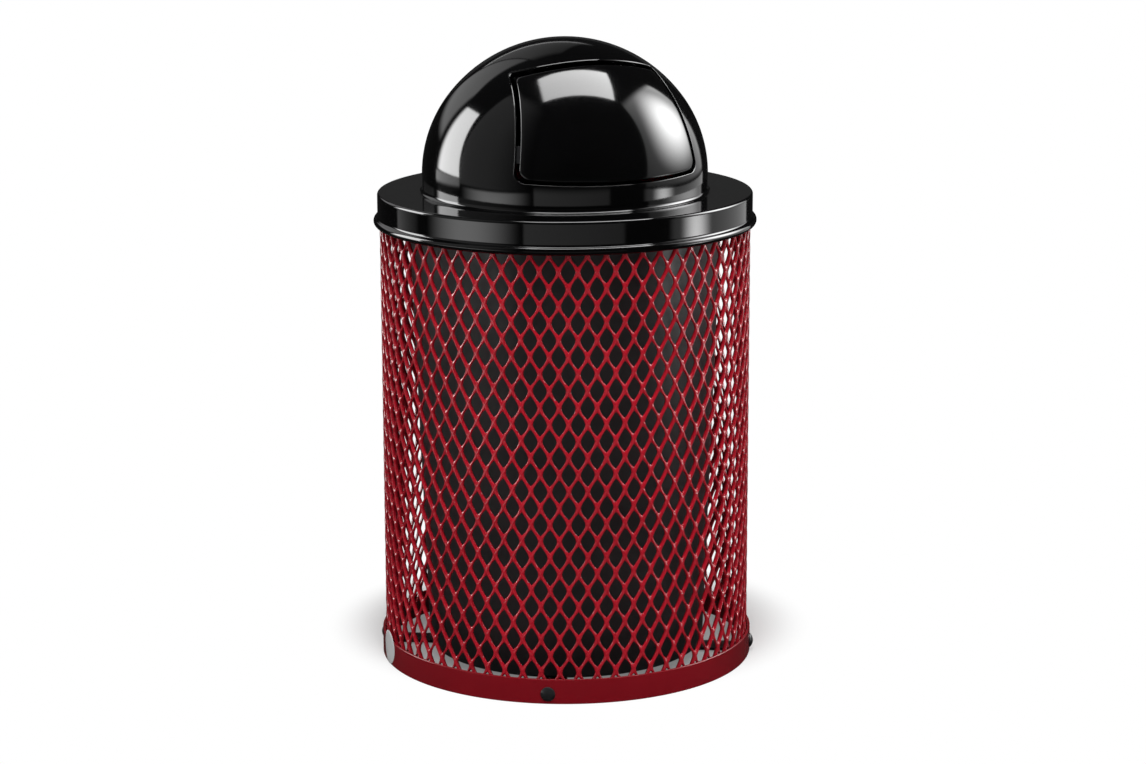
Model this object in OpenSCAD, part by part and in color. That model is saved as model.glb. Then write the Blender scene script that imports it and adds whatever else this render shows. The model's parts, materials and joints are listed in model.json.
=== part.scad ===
// Outdoor waste receptacle: a welded can of expanded sheet with flat-bar bands,
// a plastic liner, and a spun dome lid with a spring-closed push door.
// Millimetres. The origin is on the floor at the can's axis, +Z is up and the door faces -Y.

/* [Can] */
// Outside radius of the bottom band
band_r = 286; // [240:1:340]
// Height of the flat bar that both bands are rolled from
band_h = 38; // [32:1:50]
// Thickness of the flat bar of both bands
band_t = 4; // [3:0.5:5]
// Height of the can, from the floor to the top band's upper edge
can_h = 719; // [600:1:860]
// Angle from the door's middle to the first base bracket
bracket_turn = -28; // [-45:1:45]

/* [Expanded sheet] */
// Thickness of the sheet
mesh_t = 3; // [2:0.5:4]
// Diamonds round the can
mesh_count = 63; // [54:1:72]
// Rows of diamonds up the can
mesh_rows = 14; // [11:1:17]
// Width of one strand of the sheet
mesh_strand = 6; // [4:0.5:7]
// Angle from the door's middle to the sheet's first column of diamonds
mesh_turn = 1.4; // [0:0.1:5]
// How far the middles of the first and last diamonds lie past the sheet's cut edges
mesh_over = 5.5; // [4:0.5:7]
// How far the sheet runs down behind the bottom band
mesh_lap = 10; // [7:0.5:11]
// How far the sheet stops short of the top band's upper edge
mesh_short = 2; // [1:0.5:6]

/* [Base brackets and fasteners] */
// Number of base brackets, each with its bolt and its glide
bracket_count = 4; // [3:1:6]
// Width of the bracket's flat bar
bracket_w = 38; // [30:1:44]
// Thickness of the bracket's flat bar
bracket_t = 4.7; // [3:0.1:5]
// Height of the bracket's upright leg
bracket_h = 23; // [21:0.5:23.5]
// How far the bracket reaches in from the band
bracket_reach = 100; // [90:1:120]
// Radius of the band bolts' shanks
bolt_r = 4.8; // [3:0.1:5]
// Height of the band bolts above the floor
bolt_z = 15.5; // [15.5:0.1:17]
// Radius of the band bolts' domed heads
bolt_head_r = 11; // [8:0.5:13]
// Height of the band bolts' domed heads
bolt_head_h = 5.5; // [3:0.5:7]
// Distance across the flats of the band bolts' nuts
bolt_nut_af = 14.3; // [12:0.1:14.4]
// Thickness of the band bolts' nuts
bolt_nut_h = 8; // [6:0.5:10]
// How far in from the band each glide stands
glide_in = 82; // [78:1:87]
// Radius of a glide's foot
glide_r = 14; // [10:0.5:18]
// Thickness of a glide's foot
glide_h = 3; // [2:0.5:3]
// Radius of a glide's stem
glide_stem_r = 4; // [3:0.5:5]
// Distance across the flats of a glide's nut
glide_nut_af = 13; // [12:0.5:18]
// Thickness of a glide's nut
glide_nut_h = 6; // [4:0.5:6]
// How far in from the band each floor anchor hole lies
anchor_in = 42; // [34:1:50]
// Radius of a floor anchor hole
anchor_r = 5.5; // [4:0.5:7]

/* [Round label] */
// Angle from the door's middle to the label
label_turn = -100.4; // [-106:0.1:-96]
// Radius of the label
label_r = 18; // [8:0.5:18.5]
// Thickness of the label
label_t = 0.5; // [0.4:0.1:1]

/* [Liner] */
// Gap between the liner's rim and the inside of the bands
liner_gap = 33; // [28:1:45]
// How much smaller the liner's outside radius is at its floor than just below its rim
liner_taper = 25; // [15:1:35]
// Wall of the liner
liner_t = 3; // [2.5:0.5:4]
// Round between the outsides of the liner's wall and its floor
liner_round = 6; // [4.5:0.5:10]
// How far the rim stands out from the liner's wall
rim_out = 12; // [8:0.5:16]
// How far the rim turns down
rim_drop = 14; // [8:0.5:20]
// Gap between the liner's rim and the lid's flat rim above it
rim_gap = 19; // [10:1:40]

/* [Lid] */
// Thickness of the spun sheet
lid_t = 1.5; // [1:0.1:2]
// Gap between the can and the inside of the lid's skirt
lid_play = 0.7; // [0.5:0.1:2]
// Height of the lid's skirt with its rolled bead
skirt_h = 49; // [40:1:60]
// Radius of the rolled bead
bead_r = 6; // [4:0.5:8]
// Round at the outer edge of the lid's flat rim
flange_round = 4; // [3:0.5:6]
// Radius of the dome at its foot
dome_r = 216; // [212:1:220]
// Height of the dome's straight foot
dome_foot = 25.5; // [22:0.5:28]
// Height of the dome above the flat rim
dome_h = 231; // [229:0.5:234]
// Radius of the lower, tighter part of the dome's curve
dome_side_r = 195; // [190:1:200]
// Height above the straight foot at which the tighter curve gives way to the crown
dome_side_h = 117; // [112:0.5:122]
// Round between the dome's foot and the flat rim
foot_round = 6; // [4:0.5:8]

/* [Push door] */
// Half of the opening's width at its foot
door_half_w = 146; // [136:0.5:147]
// Lean of the opening's sides, in degrees
door_lean = 12.5; // [10:0.5:15]
// Bow of the opening's sides
door_bow = 5; // [3:0.5:8]
// Height of the opening's foot above the flat rim, at its middle
door_sill = 39; // [36:1:46]
// Radius of the opening's slightly bowed foot
door_sill_r = 2800; // [2000:100:4000]
// Height of the opening's top above the flat rim, at its middle
door_top = 207; // [200:1:210]
// Radius of the opening's bowed top edge
door_top_r = 373; // [330:1:420]
// Radius of the opening's corners
door_corner = 13; // [8:0.5:18]
// Gap between the opening and the door
door_gap = 5; // [4:0.5:6]
// Depth of the lip turned in round the door
lip_h = 6; // [5:0.5:8]
// Distance from the dome's axis forward to the hinge rod
hinge_y = 52; // [48:1:56]
// Height of the hinge rod above the flat rim
hinge_up = 180; // [176:1:184]
// Radius of the hinge rod
rod_r = 4; // [3:0.5:5]
// Gap round the hinge rod in the ears that turn on it
rod_fit = 0.05; // [0.02:0.01:0.1]
// Half of the hinge rod's length
rod_half = 104; // [103.5:0.5:108]
// Distance from the middle to each hinge bracket
hinge_x = 97; // [96:0.5:98]
// Distance from the middle to each door ear
ear_x = 83; // [80:0.5:88]
// Thickness of the hinge brackets and the door ears
ear_t = 2.5; // [2:0.1:3]
// Radius of the round end that holds the rod
boss_r = 10; // [8:0.5:11]
// Width of the feet of the hinge brackets and the door ears
foot_w = 13; // [10:0.5:15]
// Height of a door ear's foot
ear_foot_h = 44; // [36:1:50]
// How far an ear's foot reaches down from the hinge rod
ear_drop = 58; // [52:1:64]
// Thickness of a clip on the end of the hinge rod
clip_t = 3; // [2:0.5:3]
// How far a clip stands out from the hinge rod
clip_w = 2.5; // [1.5:0.5:4]
// Distance from the middle to the near end of each spring
spring_x = 56; // [50:1:60]
// Length of each spring's coil
spring_l = 20; // [12:1:22]
// Outside radius of each spring's coil
spring_r = 7.5; // [6.5:0.5:8.5]
// Radius of the spring wire
wire_r = 1.2; // [0.8:0.1:1.5]

/* [Door stops] */
// How far a stop tab reaches past the edge of the opening
stop_reach = 11; // [10:0.5:13]
// How far a stop tab reaches back onto the door
stop_hold = 14; // [10:0.5:20]
// Height of the stop tabs' middle above the flat rim
stop_up = 82; // [76:1:90]
// Height of one stop tab
stop_h = 24; // [16:1:30]
// Thickness of a stop tab
stop_t = 2; // [1.5:0.5:3]
// Radius of a rubber bumper
bumper_r = 3.5; // [2.5:0.5:4]

/* [Hidden] */
$fn = 96;

seat_gap = 0.2;                                   // left between rolled pieces that are welded
rest_gap = 0.3;                                   // left between curved pieces that only rest
band_in = band_r - band_t;
mesh_angle = 360 / mesh_count;
mesh_out = (band_in - seat_gap) * cos(mesh_angle / 2);
mesh_low = band_h - mesh_lap;
mesh_high = can_h - mesh_short;
mesh_panels = 9;                                  // the sheet is split where it bends, for collision
pitch_w = 2 * mesh_out * tan(mesh_angle / 2);
pitch_z = (mesh_high - mesh_low + 2 * mesh_over) / mesh_rows;
open_share = 1 - mesh_strand * sqrt(1 / pitch_w ^ 2 + 1 / pitch_z ^ 2);

leg_out = sqrt(band_in ^ 2 - (bracket_w / 2) ^ 2) - seat_gap / 4;
leg_in = leg_out - bracket_t;
bracket_angle = 360 / bracket_count;
glide_ring = band_in - glide_in;
anchor_ring = band_in - anchor_in;
shelf_top = glide_h + bracket_t;
liner_low = shelf_top + glide_nut_h + 1.3;        // the stems stand this far above the shelf
liner_rim_r = band_in - liner_gap;
liner_top_r = liner_rim_r - rim_out;
liner_floor_r = liner_top_r - liner_taper;
liner_corner = max(0.5, liner_round - liner_t);   // of its inside

flange_z = can_h + lid_t;
skirt_in = band_in - seat_gap + lid_play;
skirt_out = skirt_in + lid_t;
skirt_low = flange_z - skirt_h;
side_x = dome_r - dome_side_r;                    // the side arc's centre, out from the axis
side_end = [side_x + sqrt(dome_side_r ^ 2 - dome_side_h ^ 2), dome_foot + dome_side_h];
crown_rise = dome_h - side_end.y;
crown_r = (side_end.x ^ 2 + crown_rise ^ 2) / 2 / crown_rise;

door_slope = tan(door_lean);
door_back = -30;                                  // the opening is cut forward from here
stop_edge = door_half_w - door_slope * (stop_up - door_sill);
leg_tilt = 12;                                    // a spring's front leg drops by this angle
past_dome = 60;                                   // drawn up through the dome, then cut to it
past_cut = 5;                                     // a cutter runs this far past what it cuts

// Angle of one of the sheet's bends. It lies a quarter of a diamond's pitch from the diamonds' tips,
// so it crosses only their slanting sides.
function bend_angle(k) = mesh_turn + (k + 0.25) * mesh_angle;

// A bend's place on a face of the sheet that lies this far from the axis at its flats' middles
function bend(k, flat) = flat / cos(mesh_angle / 2) * [sin(bend_angle(k)), -cos(bend_angle(k))];

// Number of the bend where a panel of the sheet starts
function panel_start(index) = round(index * mesh_count / mesh_panels);

module tube(r_out, r_in, h) {
  difference() {
    cylinder(r = r_out, h = h);
    translate([0, 0, -1]) cylinder(r = r_in, h = h + 2);
  }
}

// Stands what is drawn along +Z out from the axis towards -Y, at a height and a distance
module outward(from, z) {
  translate([0, -from, z]) rotate([90, 0, 0]) children();
}

module round_brackets() {
  for (k = [0 : bracket_count - 1]) rotate(bracket_turn + k * bracket_angle) children();
}

// ---- Can ----

// The hole of one diamond, this many pitches round the can and this many rows up it
module diamond(column, row) {
  w = pitch_w * open_share / 2;
  h = pitch_z * open_share / 2;
  rotate(mesh_turn + column * mesh_angle)
    outward(mesh_out - 2 * mesh_t, mesh_low - mesh_over + row * pitch_z)
      linear_extrude(3 * mesh_t) polygon([[w, 0], [0, h], [-w, 0], [0, -h]]);
}

// Part of the sheet from one bend to another
module mesh_panel(index) {
  from = panel_start(index);
  to = panel_start(index + 1);
  inside = mesh_out - mesh_t;
  color([0.67, 0.08, 0.14]) difference() {
    translate([0, 0, mesh_low]) linear_extrude(mesh_high - mesh_low) polygon([
      for (k = [from : to]) bend(k, mesh_out),
      for (k = [to : -1 : from]) bend(k, inside)
    ]);
    for (k = [from : to], i = [0 : mesh_rows - 1]) diamond(k, i + 0.5);
    for (k = [from : to], i = [0 : mesh_rows]) diamond(k + 0.5, i);
  }
}

module bottom_band() {
  color([0.55, 0.06, 0.10]) difference() {
    tube(band_r, band_in, band_h);
    round_brackets() outward(band_in - past_cut, bolt_z)
      cylinder(r = bolt_r, h = band_t + 2 * past_cut);
  }
}

module top_band() {
  out = mesh_out - mesh_t - seat_gap / 2;
  color([0.55, 0.06, 0.10]) translate([0, 0, can_h - band_h]) tube(out, out - band_t, band_h);
}

// Bent flat bar: an upright leg on the band and a shelf that reaches in under the liner
module bracket(index) {
  color([0.08, 0.08, 0.09]) rotate(bracket_turn + index * bracket_angle) difference() {
    translate([-bracket_w / 2, 0, 0]) rotate([90, 0, 90]) linear_extrude(bracket_w) union() {
      translate([-leg_out, glide_h]) square([bracket_reach, bracket_t]);
      translate([-leg_out, glide_h]) square([bracket_t, bracket_h]);
    }
    outward(leg_in - past_cut, bolt_z) cylinder(r = bolt_r, h = bracket_t + 2 * past_cut);
    translate([0, -glide_ring, glide_h - 1]) cylinder(r = glide_stem_r, h = bracket_t + 2);
    translate([0, -anchor_ring, glide_h - 1]) cylinder(r = anchor_r, h = bracket_t + 2);
  }
}

// Domed head on a short shank, drawn along +Z
module carriage_bolt(shank) {
  dome = (bolt_head_r ^ 2 + bolt_head_h ^ 2) / (2 * bolt_head_h);
  cylinder(r = bolt_r, h = shank);
  translate([0, 0, shank]) intersection() {
    translate([0, 0, bolt_head_h - dome]) sphere(r = dome);
    cylinder(r = dome, h = bolt_head_h + 1);
  }
}

module carriage_bolts() {
  tail = leg_in - bolt_nut_h - 2;
  color([0.06, 0.06, 0.06]) round_brackets() outward(tail, bolt_z) carriage_bolt(band_r - tail);
}

// Nut drawn along +Z, with two of its flats square to Y
module hex_nut(flats, h, bore) {
  difference() {
    cylinder(r = flats / 2 / cos(30), h = h, $fn = 6);
    translate([0, 0, -1]) cylinder(r = bore, h = h + 2);
  }
}

module bolt_nuts() {
  color([0.72, 0.72, 0.70]) round_brackets()
    outward(leg_in - bolt_nut_h, bolt_z) hex_nut(bolt_nut_af, bolt_nut_h, bolt_r);
}

module glide_feet() {
  color([0.15, 0.15, 0.15]) round_brackets() translate([0, -glide_ring, 0]) {
    cylinder(r = glide_r, h = glide_h);
    cylinder(r = glide_stem_r, h = liner_low);
  }
}

module glide_nuts() {
  color([0.72, 0.72, 0.70]) round_brackets()
    translate([0, -glide_ring, shelf_top]) hex_nut(glide_nut_af, glide_nut_h, glide_stem_r);
}

module label_disc() {
  color([0.8, 0.8, 0.8]) rotate(label_turn) intersection() {
    tube(band_r + label_t, band_r, band_h);
    outward(0, band_h / 2) cylinder(r = label_r, h = band_r + band_h);
  }
}

// ---- Liner ----

// Half section of a tub that leans out from its floor, with its corner cut off
module liner_section(floor_r, top_r, low, high, corner) {
  polygon([[0, low], [floor_r - corner, low], [floor_r, low + corner], [top_r, high], [0, high]]);
}

// Floor, leaning wall and a rim that turns over and down
module liner() {
  high = can_h - rim_gap;
  color([0.10, 0.10, 0.10]) rotate_extrude() difference() {
    union() {
      liner_section(liner_floor_r, liner_top_r, liner_low, high, liner_round);
      translate([0, high - rim_drop]) square([liner_rim_r, rim_drop]);
    }
    liner_section(liner_floor_r - liner_t, liner_top_r - liner_t, liner_low + liner_t, high + 1,
                  liner_corner);
    difference() {
      translate([0, high - rim_drop - 1]) square([liner_rim_r - liner_t, rim_drop - liner_t + 1]);
      liner_section(liner_floor_r, liner_top_r, liner_low, high + 2, liner_round);
    }
  }
}

// ---- Lid ----

// Places what is drawn with its height counted from the lid's flat rim
module on_lid() {
  translate([0, 0, flange_z]) children();
}

// Half section of what lies under the dome, moved in by an inset. Above its straight foot, a side
// arc runs up to a flatter crown.
module dome_section(inset) {
  seam = side_end.y - inset * dome_side_h / dome_side_r;
  square([dome_r - inset, dome_foot]);
  intersection() {
    translate([side_x, dome_foot]) circle(r = dome_side_r - inset);
    translate([0, dome_foot]) square([dome_r, seam - dome_foot]);
  }
  intersection() {
    translate([0, dome_h - crown_r]) circle(r = crown_r - inset);
    translate([0, seam]) square([dome_r, dome_h]);
  }
}

// The round at the dome's foot, as the corner that its arc leaves
module foot_section(inset) {
  r = foot_round + inset;
  translate([dome_r - inset, -inset]) difference() {
    translate([-1, 0]) square([r + 1, r]);
    translate([r, r]) circle(r = r);
  }
}

// Half section of what lies under the lid's flat rim and skirt
module rim_section(inset) {
  r = flange_round - inset;
  wide = skirt_out - inset;
  low = inset > 0 ? -skirt_h - 1 : -skirt_h;
  translate([0, low]) square([wide, -r - inset - low]);
  translate([0, -r - inset - 1]) square([wide - r, r + 1]);
  translate([wide - r, -r - inset]) circle(r = r);
}

// Half section of the spun sheet, from the dome out to the bead rolled at the skirt's edge
module lid_sheet() {
  difference() {
    union() {
      dome_section(0);
      foot_section(0);
      rim_section(0);
    }
    dome_section(lid_t);
    foot_section(lid_t);
    rim_section(lid_t);
    translate([0, -lid_t - 1]) square([dome_r - lid_t, lid_t + 2]);
  }
  difference() {
    translate([skirt_out, bead_r - skirt_h]) circle(r = bead_r);
    translate([0, -skirt_h - 1]) square([skirt_in, 3 * bead_r]);
  }
}

// Round whose arc is the opening's right-hand side
module door_side() {
  rise = door_top - door_sill;
  chord = rise / cos(door_lean);
  side_r = chord ^ 2 / (8 * door_bow) + door_bow / 2;
  translate([door_half_w - rise * door_slope / 2, door_sill + rise / 2]) rotate(door_lean)
    translate([door_bow - side_r, 0]) circle(r = side_r, $fn = 180);
}

// Outline of the door opening, seen from the front and made smaller by an inset
module door_outline(inset) {
  offset(r = door_corner, $fn = 32) offset(delta = -door_corner - inset) intersection() {
    translate([0, door_sill + door_sill_r]) circle(r = door_sill_r, $fn = 720);
    translate([0, door_top - door_top_r]) circle(r = door_top_r, $fn = 180);
    door_side();
    mirror([1, 0]) door_side();
  }
}

module door_prism(inset) {
  translate([0, door_back, 0]) rotate([90, 0, 0]) linear_extrude(dome_r) door_outline(inset);
}

module dome_solid(inset) {
  rotate_extrude() dome_section(inset);
}

// A layer of the dome, from one depth under its outer face to another
module dome_layer(from, to) {
  difference() {
    dome_solid(from);
    dome_solid(to);
  }
}

module lid_shell() {
  color([0.03, 0.03, 0.03]) on_lid() difference() {
    rotate_extrude() lid_sheet();
    door_prism(0);
  }
}

// Draws a left-hand piece on the dome, or its mirror image on the right
module sided(side) {
  on_lid() mirror([side, 0, 0]) children();
}

// Plate across the rod at a distance from the middle, bored for the rod
module cross_plate(x, bore) {
  translate([-x, -hinge_y, hinge_up]) rotate([90, 0, -90]) linear_extrude(ear_t) difference() {
    children();
    circle(r = bore);
  }
}

// Plate from the rod up to the dome, with a foot that lies along the dome's inside
module hinge_bracket(side) {
  wide = 2 * boss_r;
  color([0.10, 0.10, 0.10]) sided(side) {
    intersection() {
      dome_solid(lid_t);
      cross_plate(hinge_x, rod_r) union() {
        circle(r = boss_r);
        translate([-boss_r, 0]) square([wide, past_dome]);
      }
    }
    intersection() {
      dome_layer(lid_t, lid_t + ear_t);
      translate([-hinge_x - ear_t - foot_w, -hinge_y - boss_r, hinge_up - rod_r])
        cube([foot_w + ear_t / 2, wide, past_dome]);
    }
  }
}

module hinge_rod() {
  color([0.70, 0.70, 0.70]) on_lid() translate([-rod_half, -hinge_y, hinge_up])
    rotate([0, 90, 0]) cylinder(r = rod_r, h = 2 * rod_half);
}

module rod_clips() {
  color([0.70, 0.70, 0.70]) for (side = [0, 1]) sided(side)
    translate([-hinge_x - ear_t - clip_t, -hinge_y, hinge_up]) rotate([0, 90, 0])
      tube(rod_r + clip_w, rod_r, clip_t);
}

// Straight legs of the springs' fixed ends, from beside the coils up to the dome
module spring_anchors() {
  back = spring_r + wire_r + rest_gap;
  color([0.60, 0.60, 0.62]) for (side = [0, 1]) sided(side) intersection() {
    dome_solid(lid_t);
    translate([-spring_x - spring_l + 2 * wire_r, back - hinge_y, hinge_up - rod_r])
      cylinder(r = wire_r, h = past_dome);
  }
}

// ---- Push door ----

// Panel cut from the same curve as the dome, with a lip turned in all round
module door_panel() {
  color([0.03, 0.03, 0.03]) on_lid() {
    intersection() {
      dome_layer(0, lid_t);
      door_prism(door_gap);
    }
    intersection() {
      dome_layer(lid_t, lip_h);
      difference() {
        door_prism(door_gap);
        door_prism(door_gap + lid_t);
      }
    }
  }
}

// Ear that turns on the rod, with a foot that lies along the door's inside
module door_ear(side) {
  front = dome_r - hinge_y;
  color([0.10, 0.10, 0.10]) sided(side) {
    intersection() {
      dome_solid(lid_t);
      cross_plate(ear_x, rod_r + rod_fit) union() {
        circle(r = boss_r);
        polygon([[-boss_r, 0], [0, -boss_r], [front, -ear_drop],
                 [front, ear_foot_h - ear_drop], [0, boss_r]]);
      }
    }
    intersection() {
      dome_layer(lid_t, lid_t + ear_t);
      translate([-ear_x - ear_t / 2, -dome_r, hinge_up - ear_drop])
        cube([foot_w + ear_t / 2, front, ear_foot_h]);
    }
  }
}

// Coil round the rod, with the leg that presses on the door's inside
module door_spring(side) {
  color([0.60, 0.60, 0.62]) sided(side) {
    translate([-spring_x - spring_l, -hinge_y, hinge_up]) rotate([0, 90, 0])
      tube(spring_r, rod_r + rest_gap, spring_l);
    intersection() {
      dome_solid(lid_t);
      translate([-spring_x - 2 * wire_r, -hinge_y, hinge_up - spring_r + wire_r])
        rotate([90 + leg_tilt, 0, 0]) cylinder(r = wire_r, h = dome_r);
    }
  }
}

// Tab on the door's lip that reaches behind the dome beside the opening
module stop_tab(side) {
  color([0.10, 0.10, 0.10]) sided(side) intersection() {
    dome_layer(lip_h, lip_h + stop_t);
    translate([-stop_edge - stop_reach, -dome_r, stop_up - stop_h / 2])
      cube([stop_reach + stop_hold, dome_r - hinge_y, stop_h]);
  }
}

// Rubber buttons on the stop tabs, which meet the dome's inside when the door is shut
module door_bumpers() {
  x = stop_edge + stop_reach - bumper_r - 1;
  color([0.05, 0.05, 0.05]) for (side = [0, 1], z = [-1, 1]) sided(side) intersection() {
    dome_layer(lid_t + rest_gap, lip_h);
    translate([-x, -dome_r, stop_up + z * stop_h / 4])
      rotate([-90, 0, 0]) cylinder(r = bumper_r, h = dome_r - hinge_y);
  }
}

mesh_panel(0);  // mesh_panel_1
mesh_panel(1);  // mesh_panel_2
mesh_panel(2);  // mesh_panel_3
mesh_panel(3);  // mesh_panel_4
mesh_panel(4);  // mesh_panel_5
mesh_panel(5);  // mesh_panel_6
mesh_panel(6);  // mesh_panel_7
mesh_panel(7);  // mesh_panel_8
mesh_panel(8);  // mesh_panel_9
bottom_band();
top_band();
bracket(0);  // bracket_1
bracket(1);  // bracket_2
bracket(2);  // bracket_3
bracket(3);  // bracket_4
carriage_bolts();
bolt_nuts();
glide_feet();
glide_nuts();
label_disc();
liner();
lid_shell();
hinge_bracket(0);  // hinge_bracket_left
hinge_bracket(1);  // hinge_bracket_right
hinge_rod();
rod_clips();
spring_anchors();
door_panel();
door_ear(0);  // door_ear_left
door_ear(1);  // door_ear_right
door_spring(0);  // spring_left
door_spring(1);  // spring_right
stop_tab(0);  // stop_tab_left
stop_tab(1);  // stop_tab_right
door_bumpers();
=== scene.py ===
"""Outdoor waste receptacle of expanded steel with a dome lid and a push door, in a plain studio."""
import json
import math

import bmesh
import bpy
from mathutils import Matrix, Vector


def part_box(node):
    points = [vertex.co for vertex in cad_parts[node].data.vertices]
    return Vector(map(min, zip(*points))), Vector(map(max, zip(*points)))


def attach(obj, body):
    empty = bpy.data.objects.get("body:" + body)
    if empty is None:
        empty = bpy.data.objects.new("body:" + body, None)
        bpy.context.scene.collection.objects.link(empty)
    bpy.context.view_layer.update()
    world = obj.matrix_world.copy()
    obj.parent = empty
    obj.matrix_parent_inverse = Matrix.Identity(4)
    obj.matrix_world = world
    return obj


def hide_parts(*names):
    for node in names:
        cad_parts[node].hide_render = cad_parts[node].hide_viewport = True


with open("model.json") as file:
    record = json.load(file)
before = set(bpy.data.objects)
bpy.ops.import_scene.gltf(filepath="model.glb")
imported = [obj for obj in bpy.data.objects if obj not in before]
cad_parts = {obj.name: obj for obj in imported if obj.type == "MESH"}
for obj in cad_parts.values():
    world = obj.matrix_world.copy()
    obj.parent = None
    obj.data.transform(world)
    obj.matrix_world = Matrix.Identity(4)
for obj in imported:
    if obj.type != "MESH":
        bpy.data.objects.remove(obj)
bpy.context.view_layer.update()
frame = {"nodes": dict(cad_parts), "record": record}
cad = frame["nodes"]


# ---- Camera ----
# The picture is taken with a long lens from the left of the door, from a little above the dome
# and aimed down at the can's middle.
camera_turn = math.radians(-22.4)        # round the can, from the door's middle
camera_reach = 4.525
camera_height = 1.460
camera_tilt = 0.2255                     # down from level, in radians, as are the next two
camera_pan = 0.0025
camera_roll = -0.0029
lens_mm = 95.0

camera = bpy.data.objects.new("camera", bpy.data.cameras.new("camera"))
bpy.context.scene.collection.objects.link(camera)
camera.data.lens = lens_mm
camera.data.clip_end = 60
camera.matrix_world = (
    Matrix.Translation((camera_reach * math.sin(camera_turn),
                        -camera_reach * math.cos(camera_turn), camera_height))
    @ Matrix.Rotation(camera_turn - camera_pan, 4, "Z")
    @ Matrix.Rotation(math.pi / 2 - camera_tilt, 4, "X")
    @ Matrix.Rotation(camera_roll, 4, "Z"))
bpy.context.scene.camera = camera
bpy.context.scene.view_settings.view_transform = "Standard"


# ---- Studio ----
# A white floor and soft lamps at a plain level, in a black tent hung with lit cloths. The glossy
# lid mirrors the cloths, so each hangs where the lid shows one. They light nothing else.
floor_reach = 2.6
floor_grey = (0.58, 0.58, 0.58, 1)
floor_lift = (0.18, 0.28, 0.39)          # least share of plain white, and the radii it grows between
floor_heart = (0.05, 0.11, 0)            # middle of that ring, a little behind the can
floor_painted_dark_in_gloss = 0.025                   # painted reflection: mirrored rays see the floor as a fixed dim glow, not its lit paper
aim = Vector((0, 0, 0.80))
cloth_reach = 4.5
tent_reach, tent_hem, tent_rise, tent_glow = 5.3, -1.6, 5.6, 0.012
world_light = 0.33


def nodes_of(owner):
    owner.use_nodes = True
    owner.node_tree.nodes.clear()
    return owner.node_tree.nodes, owner.node_tree.links


def stand_at(turn, rise, reach):
    """A point seen from the aim at a turn from the door's middle and a rise, both in degrees."""
    a, e = math.radians(turn), math.radians(rise)
    return aim + reach * Vector((math.sin(a) * math.cos(e), -math.cos(a) * math.cos(e), math.sin(e)))


def softbox(name, turn, rise, reach, size, radiance):
    lamp = bpy.data.lights.new(name, "AREA")
    lamp.shape = "RECTANGLE"
    lamp.size, lamp.size_y = size
    lamp.energy = radiance * math.pi * size[0] * size[1]
    box = bpy.data.objects.new(name, lamp)
    bpy.context.scene.collection.objects.link(box)
    box.location = stand_at(turn, rise, reach)
    box.rotation_euler = (aim - box.location).to_track_quat("-Z", "Y").to_euler()
    box.visible_camera = False
    box.visible_glossy = False


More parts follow.
